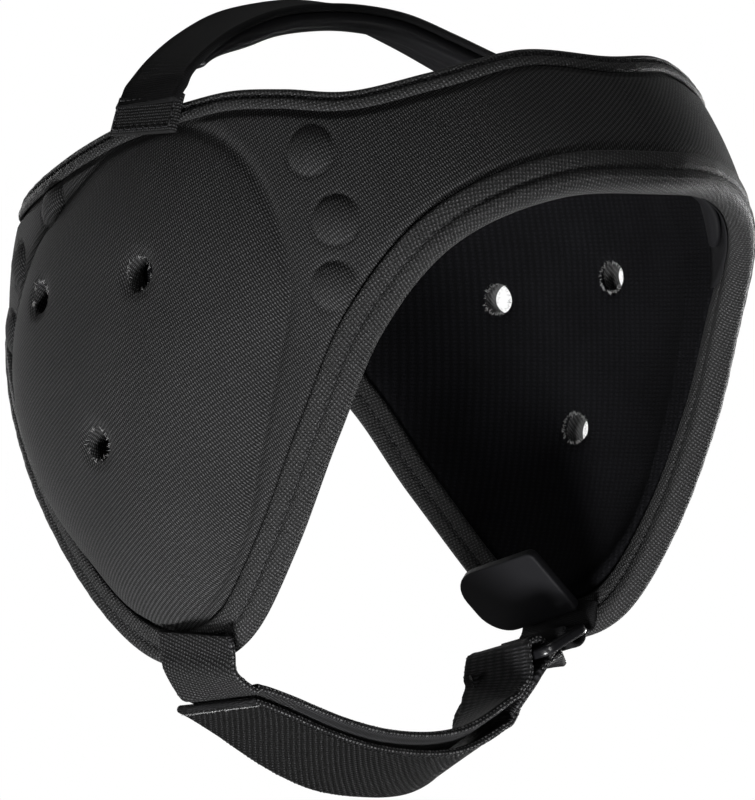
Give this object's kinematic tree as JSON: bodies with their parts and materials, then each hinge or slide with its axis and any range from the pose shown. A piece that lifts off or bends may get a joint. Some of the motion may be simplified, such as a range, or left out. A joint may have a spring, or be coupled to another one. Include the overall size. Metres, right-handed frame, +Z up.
{
  "type": "wrestling ear guard",
  "caption": "Molded foam ring with a domed cup over each ear, bound edges, a padded crown strap and a buckled chin strap, held in the form that it has worn.",
  "frame": {"origin": "the middle of the underside of the crown strap's padded roll, where the part sits on the wearer's head", "axes": "+Z up, -Y the way the wearer faces, -X the wearer's right"},
  "size_m": [0.1764, 0.1943, 0.1983],
  "materials": {
    "shell_knit": "fine knit laminated to molded foam",
    "lining_pile": "short pile",
    "binding_knit": "ribbed knit tape",
    "satin": "satin weave",
    "webbing": "narrow woven webbing",
    "buckle_plastic": "satin molded",
    "flap_rubber": "matt molded"
  },
  "bodies": {
    "root": {"guard_shell": "shell_knit", "inner_lining": "lining_pile", "top_binding": "binding_knit", "lower_binding": "binding_knit", "forehead_facing": "satin", "forehead_pad": "satin", "crown_strap": "webbing", "crown_strap_pad": "satin", "crown_patch_right": "webbing", "crown_patch_left": "webbing", "chin_strap": "webbing", "buckle_tie": "webbing", "buckle": "buckle_plastic", "chin_flap": "flap_rubber"}
  },
  "joints": []
}
